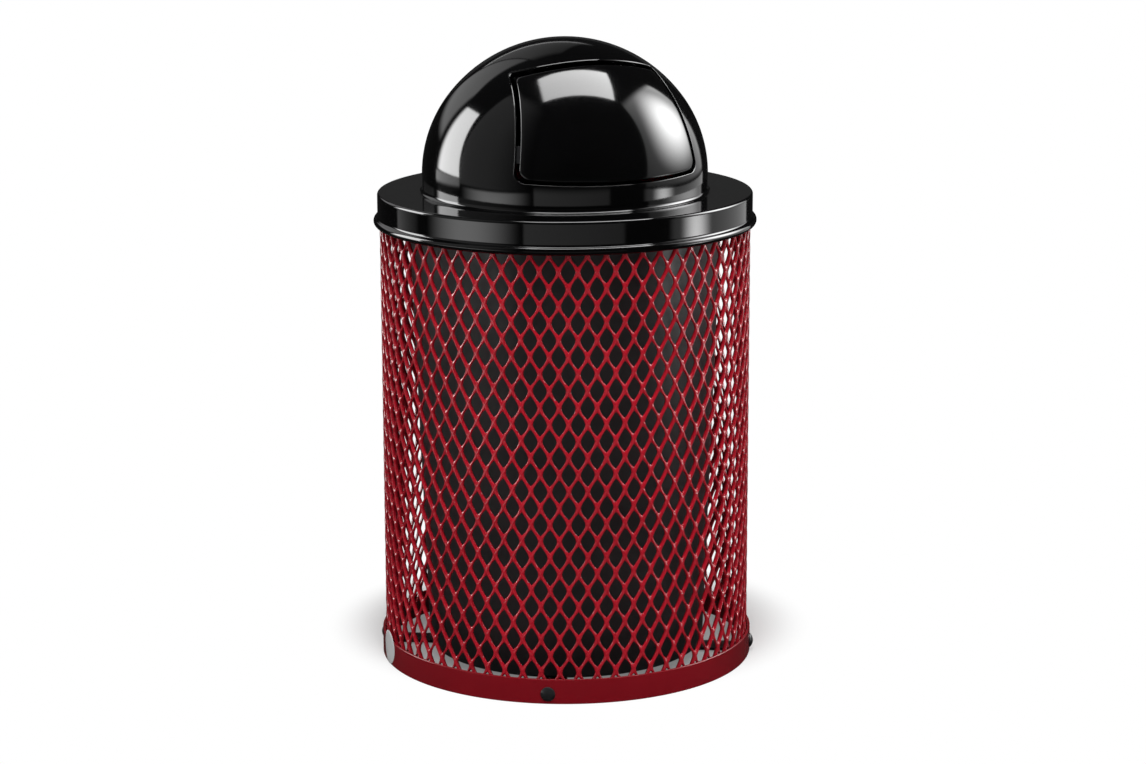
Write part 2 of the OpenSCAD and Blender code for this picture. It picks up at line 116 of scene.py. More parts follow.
def cloth(name, corners, radiance, soft, upward=(1, 1), core=None):
    """A lit cloth between four points: its low corners and then its high ones, back again.

    Its light changes evenly from the first upright side to the other, and by a factor from its foot
    to its top. It fades over a share of its width at each side. A core is a spot on it, the spot's
    reach and what it adds.
    """
    first, second, third, fourth = (stand_at(turn, rise, cloth_reach) for turn, rise in corners)
    bm = bmesh.new()
    uv = bm.loops.layers.uv.new("UVMap")
    bmesh.ops.create_grid(bm, x_segments=12, y_segments=12, size=0.5)
    for face in bm.faces:
        for loop in face.loops:
            loop[uv].uv = loop.vert.co.xy + Vector((0.5, 0.5))
    for v in bm.verts:
        across, up = v.co.x + 0.5, v.co.y + 0.5
        v.co = first.lerp(second, across).lerp(fourth.lerp(third, across), up)
    mesh = bpy.data.meshes.new(name)
    bm.to_mesh(mesh)
    bm.free()
    hung = bpy.data.objects.new(name, mesh)
    bpy.context.scene.collection.objects.link(hung)
    weave = bpy.data.materials.new(name)
    nodes, links = nodes_of(weave)
    where = nodes.new("ShaderNodeTexCoord")
    place = nodes.new("ShaderNodeSeparateXYZ")
    links.new(where.outputs["UV"], place.inputs["Vector"])
    level = nodes.new("ShaderNodeMapRange")
    level.inputs["To Min"].default_value, level.inputs["To Max"].default_value = radiance
    links.new(place.outputs["X"], level.inputs["Value"])
    rising = nodes.new("ShaderNodeMapRange")
    rising.inputs["To Min"].default_value, rising.inputs["To Max"].default_value = upward
    links.new(place.outputs["Y"], rising.inputs["Value"])
    base = nodes.new("ShaderNodeMath")
    base.operation = "MULTIPLY"
    links.new(level.outputs["Result"], base.inputs[0])
    links.new(rising.outputs["Result"], base.inputs[1])
    strength = base.outputs["Value"]
    if core:
        fit = nodes.new("ShaderNodeMapping")
        spot = nodes.new("ShaderNodeTexGradient")
        spot.gradient_type = "SPHERICAL"
        glow = nodes.new("ShaderNodeMapRange")
        glow.interpolation_type = "SMOOTHSTEP"
        total = nodes.new("ShaderNodeMath")
        fit.inputs["Scale"].default_value = (1 / core[2], 1 / core[3], 1)
        fit.inputs["Location"].default_value = (-core[0] / core[2], -core[1] / core[3], 0)
        glow.inputs["To Max"].default_value = core[4]
        links.new(where.outputs["UV"], fit.inputs["Vector"])
        links.new(fit.outputs["Vector"], spot.inputs["Vector"])
        links.new(spot.outputs["Fac"], glow.inputs["Value"])
        links.new(strength, total.inputs[0])
        links.new(glow.outputs["Result"], total.inputs[1])
        strength = total.outputs["Value"]
    for side, axis, start in ((0, "X", 0), (1, "X", 1), (2, "Y", 0), (3, "Y", 1)):
        fade = nodes.new("ShaderNodeMapRange")
        fade.interpolation_type = "SMOOTHSTEP"
        fade.inputs["From Min"].default_value = start
        fade.inputs["From Max"].default_value = abs(start - soft[side])
        part = nodes.new("ShaderNodeMath")
        part.operation = "MULTIPLY"
        links.new(place.outputs[axis], fade.inputs["Value"])
        links.new(strength, part.inputs[0])
        links.new(fade.outputs["Result"], part.inputs[1])
        strength = part.outputs["Value"]
    light = nodes.new("ShaderNodeEmission")
    out = nodes.new("ShaderNodeOutputMaterial")
    links.new(strength, light.inputs["Strength"])
    links.new(light.outputs["Emission"], out.inputs["Surface"])
    mesh.materials.append(weave)
    hung.visible_camera = hung.visible_diffuse = hung.visible_shadow = False


softbox("overhead", 20, 86, 2.2, (2.0, 2.0), 4.2)
softbox("left_light", -92, 50, 2.8, (2.0, 2.0), 0.95)
softbox("right_light", 55, 50, 2.8, (2.0, 2.0), 1.1)
softbox("front_fill", -21, 56, 2.8, (2.2, 1.8), 5.9)

cloth("left_strip", ((-146, -3), (-113, -3), (-122.5, 37.5), (-145, 30)), (8, 11.5), (0.25, 0.02, 0.03, 0.04))
cloth("overhead_cloth", ((-66, 68.5), (60, 58.3), (113, 59.6), (-141, 72)), (9.5, 12.5),
      (0.06, 0.02, 0.03, 0.03))
cloth("right_cloth", ((42, -7), (121, -7), (112, 37), (62, 56)), (1.4, 4.6), (0.03, 0.08, 0.05, 0.10),
      (0.18, 1), (0.50, 0.54, 0.43, 0.46, 17))
cloth("right_low", ((40, -17), (121, -17), (121, -7), (40, -7)), (0.5, 1.0), (0.1, 0.04, 0.3, 0.01),
      (1, 1), (0.29, 0.6, 0.16, 0.9, 11))
cloth("left_wall", ((-113, -6.6), (-47, -6.6), (-45, 66), (-121, 62)), (0.38, 0.26), (0.02, 0.6, 0.03, 0.15))
cloth("left_foot", ((-147, -9), (-113, -9), (-113, -3), (-147, -3)), (1.9, 1.5), (0.1, 0.02, 0.4, 0.05))
cloth("left_end", ((-143, -16), (-118, -16), (-118, -9.5), (-143, -9.5)), (0.60, 0.05), (0.05, 0.2, 0.3, 0.1))
cloth("left_low", ((-113, -16), (-47, -16), (-47, -6.6), (-113, -6.6)), (2.7, 2.7), (0.45, 0.50, 0.3, 0.15))
cloth("front_low", ((-47, -16), (14, -16), (14, -1), (-47, -1)), (0.50, 0.26), (0.02, 0.06, 0.2, 0.5))
cloth("back_wall", ((-180, 6), (-147, 6), (-147, 34), (-180, 52)), (0.45, 1.1), (0.05, 0.2, 0.2, 0.1))
cloth("back_top", ((150, 29), (180, 21), (180, 56), (160, 54)), (0.10, 0.30), (0.1, 0.02, 0.02, 0.3))
cloth("back_rail", ((148, 27.5), (180, 19.5), (180, 22.5), (148, 30.5)), (0.5, 1.3), (0.2, 0.05, 0.2, 0.2))
cloth("back_low", ((135, 2), (180, 2), (180, 15), (135, 15)), (0.05, 0.05), (0.2, 0.2, 0.2, 0.2))

bm = bmesh.new()
bmesh.ops.create_circle(bm, cap_ends=True, segments=96, radius=floor_reach)
floor_mesh = bpy.data.meshes.new("studio_floor")
bm.to_mesh(floor_mesh)
bm.free()
studio_floor = bpy.data.objects.new("studio_floor", floor_mesh)
bpy.context.scene.collection.objects.link(studio_floor)
sweep = bpy.data.materials.new("white_sweep")
nodes, links = nodes_of(sweep)
paper = nodes.new("ShaderNodeBsdfDiffuse")
paper.inputs["Color"].default_value = floor_grey
white = nodes.new("ShaderNodeEmission")
ray = nodes.new("ShaderNodeLightPath")
where = nodes.new("ShaderNodeTexCoord")
shift = nodes.new("ShaderNodeVectorMath")
shift.operation = "SUBTRACT"
shift.inputs[1].default_value = floor_heart
away = nodes.new("ShaderNodeVectorMath")
away.operation = "LENGTH"
lift = nodes.new("ShaderNodeMapRange")
lift.interpolation_type = "SMOOTHSTEP"
lift.inputs["From Min"].default_value, lift.inputs["From Max"].default_value = floor_lift[1:]
lift.inputs["To Min"].default_value = floor_lift[0]
share = nodes.new("ShaderNodeMath")
share.operation = "MULTIPLY"
mix = nodes.new("ShaderNodeMixShader")
out = nodes.new("ShaderNodeOutputMaterial")
links.new(where.outputs["Object"], shift.inputs[0])
links.new(shift.outputs["Vector"], away.inputs[0])
links.new(away.outputs["Value"], lift.inputs["Value"])
links.new(ray.outputs["Is Camera Ray"], share.inputs[0])
links.new(lift.outputs["Result"], share.inputs[1])
links.new(share.outputs["Value"], mix.inputs["Fac"])
links.new(paper.outputs["BSDF"], mix.inputs[1])
links.new(white.outputs["Emission"], mix.inputs[2])
# Painted reflection: to mirrored rays the floor is a dim glow of fixed strength, painted dark in place of its
# lit paper.
dark = nodes.new("ShaderNodeEmission")
dark.inputs["Strength"].default_value = floor_painted_dark_in_gloss
mirrored = nodes.new("ShaderNodeMixShader")
links.new(ray.outputs["Is Glossy Ray"], mirrored.inputs["Fac"])
links.new(mix.outputs["Shader"], mirrored.inputs[1])
links.new(dark.outputs["Emission"], mirrored.inputs[2])
links.new(mirrored.outputs["Shader"], out.inputs["Surface"])
floor_mesh.materials.append(sweep)

bm = bmesh.new()
hem, top, peak = (bm.verts.new(p) for p in ((0, tent_reach, tent_hem), (0, tent_reach, tent_rise),
                                            (0, 0, tent_rise)))
bmesh.ops.spin(bm, geom=[hem, top, peak, bm.edges.new((hem, top)), bm.edges.new((top, peak))],
               cent=(0, 0, 0), axis=(0, 0, 1), angle=2 * math.pi, steps=72, use_merge=True)
bmesh.ops.remove_doubles(bm, verts=bm.verts[:], dist=1e-4)
tent_mesh = bpy.data.meshes.new("studio_tent")
bm.to_mesh(tent_mesh)
bm.free()
studio_tent = bpy.data.objects.new("studio_tent", tent_mesh)
bpy.context.scene.collection.objects.link(studio_tent)
velvet = bpy.data.materials.new("black_velvet")
nodes, links = nodes_of(velvet)
black = nodes.new("ShaderNodeEmission")
black.inputs["Strength"].default_value = tent_glow
out = nodes.new("ShaderNodeOutputMaterial")
links.new(black.outputs["Emission"], out.inputs["Surface"])
tent_mesh.materials.append(velvet)
studio_tent.visible_camera = studio_tent.visible_diffuse = studio_tent.visible_shadow = False

world = bpy.data.worlds.new("studio_air")
bpy.context.scene.world = world
nodes, links = nodes_of(world)
ray = nodes.new("ShaderNodeLightPath")
seen = nodes.new("ShaderNodeMath")
seen.operation = "MAXIMUM"
seen_too = nodes.new("ShaderNodeMath")
seen_too.operation = "MAXIMUM"
soft = nodes.new("ShaderNodeBackground")
soft.inputs["Color"].default_value = (1, 1, 1, 1)
soft.inputs["Strength"].default_value = world_light
plain = nodes.new("ShaderNodeBackground")
plain.inputs["Color"].default_value = (1, 1, 1, 1)
mix = nodes.new("ShaderNodeMixShader")
out = nodes.new("ShaderNodeOutputWorld")
links.new(ray.outputs["Is Camera Ray"], seen.inputs[0])
links.new(ray.outputs["Is Glossy Ray"], seen.inputs[1])
links.new(seen.outputs["Value"], seen_too.inputs[0])
links.new(ray.outputs["Is Transmission Ray"], seen_too.inputs[1])
links.new(seen_too.outputs["Value"], mix.inputs["Fac"])
links.new(soft.outputs["Background"], mix.inputs[1])
links.new(plain.outputs["Background"], mix.inputs[2])
links.new(mix.outputs["Shader"], out.inputs["Surface"])


# ---- Expanded sheet ----
# One steel sheet, slit and stretched into diamonds, rolled into the can's wall, welded inside the
# bands and dipped in thick red coating, which rounds the edges of every strand.
sheet_across = 63                        # diamonds round the can
sheet_parts = 9                          # the frame has the sheet in so many upright parts
sheet_rise = 0.050                       # from one row of diamonds to the next of the same kind
sheet_out = 0.2818                       # radius of the sheet's foremost face
sheet_turn = math.radians(1.29)          # one bond's place round the can, from the door's middle
bond_height = 0.6215                     # and its height
opening_half = (0.0103, 0.0175)
opening_round = 1.8                      # 1 makes straight-sided diamonds, more makes them fuller
side_steps = 4                           # points along one side of a diamond
strand_t, strand_lean = 0.0054, 0.0013   # thickness, and how far its upper edge leans in
# how far from the strand's middle towards the opening, and how deep, each line of one strand lies
strand_lines = ((0, 0), (0.50, 0.04), (0.82, 0.15), (1, 0.42), (0.80, 0.88), (0, 1))
red_rgb = (0.36, 0.0060, 0.016, 1)


def grain_and_drift(height, dark, light, scale, nodes, links):
    """A bump of soft noise and a colour that drifts a little, both fixed to the object."""
    where = nodes.new("ShaderNodeTexCoord")
    fine = nodes.new("ShaderNodeTexNoise")
    fine.inputs["Scale"].default_value = scale
    fine.inputs["Detail"].default_value = 3
    bump = nodes.new("ShaderNodeBump")
    bump.inputs["Distance"].default_value = height
    bump.inputs["Strength"].default_value = 0.5
    drift = nodes.new("ShaderNodeTexNoise")
    drift.inputs["Scale"].default_value = 9
    ramp = nodes.new("ShaderNodeValToRGB")
    ramp.color_ramp.elements[0].position = 0.35
    ramp.color_ramp.elements[0].color = dark
    ramp.color_ramp.elements[1].position = 0.65
    ramp.color_ramp.elements[1].color = light
    links.new(where.outputs["Object"], fine.inputs["Vector"])
    links.new(where.outputs["Object"], drift.inputs["Vector"])
    links.new(fine.outputs["Fac"], bump.inputs["Height"])
    links.new(drift.outputs["Fac"], ramp.inputs["Fac"])
    return bump, ramp, drift


def finish(name, colour, roughness, metallic=0.0, grain=700, grain_height=0.00004, drift=0.10,
           coat=0.0, wear=0.04, shine=0.5):
    """A finish whose grain, tint and gloss all vary a little over the surface.

    Shine is the gloss of the paint itself, and coat that of the clear skin over it.
    """
    material = bpy.data.materials.new(name)
    nodes, links = nodes_of(material)
    dark = tuple(c * (1 - drift) for c in colour[:3]) + (1,)
    light = tuple(min(1, c * (1 + drift)) for c in colour[:3]) + (1,)
    bump, ramp, cloud = grain_and_drift(grain_height, dark, light, grain, nodes, links)
    gloss = nodes.new("ShaderNodeMapRange")
    gloss.inputs["To Min"].default_value = max(0, roughness - wear)
    gloss.inputs["To Max"].default_value = roughness + wear
    shader = nodes.new("ShaderNodeBsdfPrincipled")
    shader.inputs["Metallic"].default_value = metallic
    shader.inputs["Specular IOR Level"].default_value = shine
    shader.inputs["Coat Weight"].default_value = coat
    shader.inputs["Coat Roughness"].default_value = 0.13
    out = nodes.new("ShaderNodeOutputMaterial")
    links.new(cloud.outputs["Fac"], gloss.inputs["Value"])
    links.new(gloss.outputs["Result"], shader.inputs["Roughness"])
    links.new(ramp.outputs["Color"], shader.inputs["Base Color"])
    links.new(bump.outputs["Normal"], shader.inputs["Normal"])
    links.new(shader.outputs["BSDF"], out.inputs["Surface"])
    return material


def piece_of(bm, name, material, body, slot, *stands_for):
    """Turns a built mesh into a piece that rides on a body and stands for CAD nodes."""
    mesh = bpy.data.meshes.new(name)
    bm.to_mesh(mesh)
    bm.free()
    mesh.materials.append(material)
    mesh.shade_smooth()
    piece = bpy.data.objects.new(name, mesh)
    bpy.context.scene.collection.objects.link(piece)
    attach(piece, body)
    if stands_for:
        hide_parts(*stands_for)
    return piece


red_coat = finish("red_coat", red_rgb, 0.50, grain=420, grain_height=0.00010, drift=0.07, coat=1.0,
                  shine=0.03)

cell_half = Vector((math.pi * sheet_out / sheet_across, sheet_rise / 2))


def diamond_point(stop, line):
    """A point of one diamond's frame. Stops run round it from its right side by way of its top."""
    quarter, step = divmod(stop, side_steps)
    up = step / side_steps if quarter % 2 == 0 else 1 - step / side_steps
    right, high = (1 if quarter in (0, 3) else -1), (1 if quarter < 2 else -1)
    inward, deep = strand_lines[line]
    edge = Vector((cell_half.x * (1 - up), cell_half.y * up))
    hole = Vector((opening_half[0] * (1 - up ** opening_round), opening_half[1] * up))
    x, z = edge.lerp(hole, inward)
    lean = strand_lean * (1 - high * inward * math.sin(math.pi * up))
    return Vector((right * x, lean + deep * strand_t, high * z))


bm = bmesh.new()
loops = [[bm.verts.new(diamond_point(stop, line)) for stop in range(4 * side_steps)]
         for line in range(len(strand_lines))]
rings = [[bm.edges.new((loop[i], loop[(i + 1) % len(loop)])) for i in range(len(loop))]
         for loop in loops]
for near, far in zip(rings, rings[1:]):
    bmesh.ops.bridge_loops(bm, edges=near + far)
twin = bmesh.ops.duplicate(bm, geom=bm.verts[:] + bm.edges[:] + bm.faces[:])["geom"]
bmesh.ops.translate(bm, vec=(cell_half.x, 0, cell_half.y),
                    verts=[v for v in twin if isinstance(v, bmesh.types.BMVert)])
bmesh.ops.remove_doubles(bm, verts=bm.verts[:], dist=1e-5)
cell_mesh = bpy.data.meshes.new("diamond_pair")
bm.to_mesh(cell_mesh)
bm.free()

sheet_low, sheet_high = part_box("mesh_panel_1")[0].z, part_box("mesh_panel_1")[1].z
rows_below = math.ceil((bond_height - sheet_low) / sheet_rise)
rows_all = rows_below + math.ceil((sheet_high - bond_height) / sheet_rise) + 1
flat = bpy.data.objects.new("flat_sheet", cell_mesh)
bpy.context.scene.collection.objects.link(flat)
part_across = sheet_across // sheet_parts
for step, count in (((2 * cell_half.x, 0, 0), part_across), ((0, 0, sheet_rise), rows_all)):
    repeat = flat.modifiers.new("repeat", "ARRAY")
    repeat.count = count
    repeat.use_relative_offset = False
    repeat.use_constant_offset = True
    repeat.constant_offset_displace = step
    repeat.use_merge_vertices = True
    repeat.merge_threshold = 1e-5
flat_mesh = bpy.data.meshes.new_from_object(flat.evaluated_get(bpy.context.evaluated_depsgraph_get()))
bpy.data.objects.remove(flat)
for index in range(sheet_parts):
    bm = bmesh.new()
    bm.from_mesh(flat_mesh)
    start = sheet_turn + index * 2 * math.pi / sheet_parts
    for v in bm.verts:
        turn = start + (v.co.x + cell_half.x) / sheet_out
        reach = sheet_out - v.co.y
        height = bond_height - rows_below * sheet_rise + v.co.z
        v.co = Vector((reach * math.sin(turn), -reach * math.cos(turn), height))
    bmesh.ops.remove_doubles(bm, verts=bm.verts[:], dist=1e-5)
    for height, keep_up in ((sheet_low, True), (sheet_high, False)):
        bmesh.ops.bisect_plane(bm, geom=bm.verts[:] + bm.edges[:] + bm.faces[:],
                               plane_co=(0, 0, height), plane_no=(0, 0, 1),
                               clear_inner=keep_up, clear_outer=not keep_up)
    bmesh.ops.recalc_face_normals(bm, faces=bm.faces[:])
    front = max(bm.faces, key=lambda f: f.calc_center_median().xy.length)
    if front.normal.xy.dot(front.calc_center_median().xy) < 0:
        bmesh.ops.reverse_faces(bm, faces=bm.faces[:])
    piece_of(bm, f"expanded_sheet_{index + 1}", red_coat, "can", "red_coat", f"mesh_panel_{index + 1}")
bpy.data.meshes.remove(flat_mesh)


# ---- Bands ----
# Two flat bars rolled into hoops. The bottom one stands outside the sheet, and the top one is
# welded inside it, under the lid's skirt. Their edges are rounded by the same red coating, here
# painted darker to stand in for the shade on their upright faces.
shaded_bar_rgb = (0.20, 0.0032, 0.0085, 1)      # painted shade: the red coat painted darker, for the light the bars' upright faces miss
bar_t, bar_round, bar_steps = 0.004, 0.0011, 256
hold = 0.0008                            # a flat keeps its shading to within this of a bend


def arc(centre, radius, start, end, steps):
    """Points along an arc, with its ends, from one angle to another in degrees."""
    return [(centre[0] + radius * math.cos(math.radians(start + (end - start) * i / steps)),
             centre[1] + radius * math.sin(math.radians(start + (end - start) * i / steps)))
            for i in range(steps + 1)]


def hoop(outline, steps, closed=True):
    """Turns an outline of radius and height round the can's axis."""
    bm = bmesh.new()
    line = [bm.verts.new((0, -r, z)) for r, z in outline]
    pairs = list(zip(line, line[1:])) + ([(line[-1], line[0])] if closed else [])
    edges = [bm.edges.new(pair) for pair in pairs]
    bmesh.ops.spin(bm, geom=line + edges, cent=(0, 0, 0), axis=(0, 0, 1), angle=2 * math.pi,
                   steps=steps, use_merge=True)
    bmesh.ops.remove_doubles(bm, verts=bm.verts[:], dist=1e-6)
    bmesh.ops.recalc_face_normals(bm, faces=bm.faces[:])
    return bm


def bar_outline(inner, outer, low, high):
    r, top, foot = bar_round, high - bar_round - hold, low + bar_round + hold
    return (arc((outer - r, high - r), r, 0, 90, 4) + arc((inner + r, high - r), r, 90, 180, 4)
            + [(inner, top), (inner, foot)]
            + arc((inner + r, low + r), r, 180, 270, 4) + arc((outer - r, low + r), r, 270, 360, 4)
            + [(outer, foot), (outer, top)])


# The bars wear a copy of the red coat painted darker, as painted shade on their upright faces.
shaded_bar_coat = finish("shaded_bar_coat", shaded_bar_rgb, 0.50, grain=420, grain_height=0.00006, drift=0.05, coat=0.8,
                  shine=0.02)
band_low, band_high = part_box("bottom_band")
band_out = band_high.x
band_in = band_out - bar_t
piece_of(hoop(bar_outline(band_in, band_out, band_low.z, band_high.z), bar_steps), "foot_band", shaded_bar_coat,
         "can", "red_coat", "bottom_band")
top_low, top_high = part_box("top_band")
mouth_out = sheet_out - strand_t - 2 * strand_lean
piece_of(hoop(bar_outline(mouth_out - bar_t, mouth_out, top_low.z, top_high.z), bar_steps), "mouth_band",
         shaded_bar_coat, "can", "red_coat", "top_band")


# ---- Base brackets ----
# Flat bars bent to a right angle, coated black. Each stands on a glide and is bolted to the band.
first_bracket = math.radians(-28)
bracket_w, bracket_t, bracket_round = 0.038, 0.0047, 0.0008
bracket_reach, shelf_low, leg_top = 0.100, 0.003, 0.026
leg_gap = 0.00005                        # from the band's inside to the leg's edges
leg_out = math.sqrt(band_in ** 2 - (bracket_w / 2) ** 2) - leg_gap
black_steel = finish("black_steel", (0.012, 0.012, 0.013, 1), 0.35, grain=900, grain_height=0.00006)


def four_round(bm):
    """Copies what is drawn towards -Y to the four brackets' places."""
    first = bm.verts[:] + bm.edges[:] + bm.faces[:]
    for quarter in range(1, 4):
        copy = bmesh.ops.duplicate(bm, geom=first)["geom"]
        bmesh.ops.rotate(bm, cent=(0, 0, 0), matrix=Matrix.Rotation(quarter * math.pi / 2, 3, "Z"),
                         verts=[v for v in copy if isinstance(v, bmesh.types.BMVert)])
    bmesh.ops.rotate(bm, cent=(0, 0, 0), matrix=Matrix.Rotation(first_bracket, 3, "Z"), verts=bm.verts[:])


for index in range(4):
    bm = bmesh.new()
    corners = ((leg_out, shelf_low), (leg_out, leg_top), (leg_out - bracket_t, leg_top),
               (leg_out - bracket_t, shelf_low + bracket_t),
               (leg_out - bracket_reach, shelf_low + bracket_t), (leg_out - bracket_reach, shelf_low))
    side = bm.faces.new([bm.verts.new((-bracket_w / 2, -r, z)) for r, z in corners])
    wall = bmesh.ops.extrude_face_region(bm, geom=[side])["geom"]
    bmesh.ops.translate(bm, vec=(bracket_w, 0, 0),
                        verts=[v for v in wall if isinstance(v, bmesh.types.BMVert)])
    bmesh.ops.recalc_face_normals(bm, faces=bm.faces[:])
    bmesh.ops.bevel(bm, geom=bm.edges[:], offset=bracket_round, segments=2, profile=0.5,
                    affect="EDGES", material=-1)
    bmesh.ops.rotate(bm, cent=(0, 0, 0), verts=bm.verts[:],
                     matrix=Matrix.Rotation(first_bracket + index * math.pi / 2, 3, "Z"))
    piece_of(bm, f"base_bracket_{index + 1}", black_steel, "can", "black_steel", f"bracket_{index + 1}")


# ---- Band bolts and nuts ----
# Black carriage bolts with plain domed heads, pushed through from outside and held by zinc-plated
# hexagon nuts on the brackets. Like nuts hold the glides' stems.
bolt_height = 0.0155
head_r, head_h, head_edge, head_ease = 0.011, 0.0055, 0.0008, 0.0003
shank_r, shank_ease, shank_past = 0.0048, 0.0006, 0.002
nut_flats, nut_h, nut_edge = 0.0143, 0.008, 0.035      # the edge is a share of the flats
glide_nut_flats, glide_nut_h, glide_ring = 0.013, 0.006, 0.200
zinc_plate = finish("zinc_plate", (0.62, 0.62, 0.60, 1), 0.28, metallic=1.0, grain=1500, drift=0.12)


def outward(bm, reach, height):
    """Stands what is drawn along +Z out towards -Y."""
    bmesh.ops.rotate(bm, cent=(0, 0, 0), matrix=Matrix.Rotation(math.pi / 2, 3, "X"), verts=bm.verts[:])
    bmesh.ops.translate(bm, vec=(0, -reach, height), verts=bm.verts[:])


shank_back = leg_out - bracket_t - nut_h - shank_past
crown = (head_r ** 2 + (head_h - head_edge) ** 2) / (2 * (head_h - head_edge))
dome_end = math.degrees(math.acos(head_r / crown))
shank = band_out - shank_back
bm = hoop([(0, 0), (shank_r - shank_ease, 0), (shank_r, shank_ease), (shank_r, shank),
           (head_r - head_ease, shank), (head_r, shank + head_ease)]
          + arc((0, shank + head_h - crown), crown, dome_end, 90, 12), 32, closed=False)
outward(bm, shank_back, bolt_height)
four_round(bm)
piece_of(bm, "band_bolts", black_steel, "can", "black_steel", "carriage_bolts")


def hexagon_nut(flats, height):
    bm = bmesh.new()
    place = Matrix.Translation((0, 0, height / 2)) @ Matrix.Rotation(math.pi / 6, 4, "Z")
    bmesh.ops.create_cone(bm, cap_ends=True, segments=6, radius1=flats / math.sqrt(3),
                          radius2=flats / math.sqrt(3), depth=height, matrix=place)
    bmesh.ops.bevel(bm, geom=bm.edges[:], offset=flats * nut_edge, segments=2, profile=0.5,
                    affect="EDGES", material=-1)
    return bm


bm = hexagon_nut(nut_flats, nut_h)
outward(bm, leg_out - bracket_t - nut_h, bolt_height)
four_round(bm)
piece_of(bm, "band_nuts", zinc_plate, "can", "zinc_plate", "bolt_nuts")
bm = hexagon_nut(glide_nut_flats, glide_nut_h)
bmesh.ops.translate(bm, vec=(0, -glide_ring, shelf_low + bracket_t), verts=bm.verts[:])
four_round(bm)
piece_of(bm, "stem_nuts", zinc_plate, "can", "zinc_plate", "glide_nuts")


# ---- Liner ----
# A tapered tub of black polyethylene, moulded in one piece with a rim that turns over to grip.
liner_low, liner_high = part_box("liner")[0].z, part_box("liner")[1].z
liner_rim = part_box("liner")[1].x
liner_floor_r, liner_top_r, liner_wall, liner_bend = 0.212, 0.237, 0.003, 0.006
rim_drop, rim_bend, rim_ease = 0.014, 0.0028, 0.001
under_bend, under_out = 0.0015, 0.004    # the bend under the rim, and its centre out from the wall
foot_hold, inside_hold, rim_hold = 0.008, 0.012, 0.006  # the wall's shading is held this far off its ends
liner_steps = 192
liner_plastic = finish("liner_plastic", (0.022, 0.021, 0.022, 1), 0.34, grain=2600, grain_height=0.00005)


def wall_r(height):
    return liner_floor_r + (liner_top_r - liner_floor_r) * (height - liner_low) / (liner_high - liner_low)


inside, inner_bend = liner_floor_r - liner_wall, liner_bend - liner_wall
rim_in, rim_under, rim_edge_low = liner_rim - liner_wall, liner_high - liner_wall, liner_high - rim_drop
outline = ([(0, liner_low)]
           + arc((liner_floor_r - liner_bend, liner_low + liner_bend), liner_bend, 270, 358, 6)
           + [(wall_r(z), z)
              for z in (liner_low + foot_hold, liner_high - rim_drop, liner_high - rim_drop * 0.5)]
           + arc((wall_r(liner_high) + under_out, rim_under - under_bend), under_bend, 180, 90, 4)
           + arc((rim_in - under_bend, rim_under - under_bend), under_bend, 90, 0, 4)
           + [(rim_in, rim_edge_low + rim_ease), (rim_in + rim_ease, rim_edge_low),
              (liner_rim - rim_ease, rim_edge_low), (liner_rim, rim_edge_low + rim_ease)]
           + arc((liner_rim - rim_bend, liner_high - rim_bend), rim_bend, 0, 90, 6)
           + arc((liner_top_r - liner_wall + rim_bend, liner_high - rim_bend), rim_bend, 90, 180, 6)
           + [(wall_r(z) - liner_wall, z) for z in (liner_high - rim_hold, liner_low + inside_hold)]
           + arc((inside - inner_bend, liner_low + liner_wall + inner_bend), inner_bend, 358, 270, 6)
           + [(0, liner_low + liner_wall)])
piece_of(hoop(outline, liner_steps, closed=False), "tub_liner", liner_plastic, "liner", "liner_plastic",
         "liner")


# ---- Dome lid ----
# Spun from one steel blank: dome, foot, flat rim, skirt and a bead rolled outward at the edge.
# The door's opening is cut in it and its edge is turned in. Coated gloss black.
lid_low, lid_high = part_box("lid_shell")
dome_h, dome_foot, dome_r, dome_side_r = 0.231, 0.0255, 0.216, 0.195
rim_z = lid_high.z - dome_h
lid_t = 0.0015
foot_bend, rim_edge, bead_r, bead_neck = 0.006, 0.004, 0.006, 0.004
skirt_r = lid_high.x - bead_r
side_x = dome_r - dome_side_r            # the side arc's centre, out from the axis
crown_r = ((dome_side_r ** 2 - side_x ** 2 - (dome_foot - dome_h) ** 2)
           / (2 * (dome_foot - dome_h + dome_side_r)))
crown_z = dome_h - crown_r
crown_end = math.atan2(dome_foot - crown_z, side_x)
lid_steps, sharp_from = 384, math.radians(40)
black_gloss = finish("black_gloss", (0.0012, 0.0012, 0.0013, 1), 0.075, grain=260,
                     grain_height=0.00001, drift=0.2, wear=0.015)

bead_z, bead_end = lid_low.z + bead_r, -115
bead_tuck = bead_r * 0.6                 # the steel's inside meets the bead this far under its middle
neck_rise = math.sqrt((bead_r + bead_neck) ** 2 - bead_neck ** 2)
neck_turn = math.degrees(math.atan2(neck_rise, bead_neck))
crown_deg = math.degrees(crown_end)
outer = (arc((0, rim_z + crown_z), crown_r, 90, crown_deg, 44)
         + arc((side_x, rim_z + dome_foot), dome_side_r, crown_deg, 0, 36)[1:]
         + [(dome_r, rim_z + foot_bend + hold)]
         + arc((dome_r + foot_bend, rim_z + foot_bend), foot_bend, 180, 270, 10)
         + [(dome_r + foot_bend + hold, rim_z), (skirt_r - rim_edge - hold, rim_z)]
         + arc((skirt_r - rim_edge, rim_z - rim_edge), rim_edge, 90, 0, 8)
         + [(skirt_r, rim_z - rim_edge - hold), (skirt_r, bead_z + neck_rise + hold)]
         + arc((skirt_r + bead_neck, bead_z + neck_rise), bead_neck, 180, 180 + neck_turn, 6)
         + arc((skirt_r, bead_z), bead_r, neck_turn, bead_end, 16))
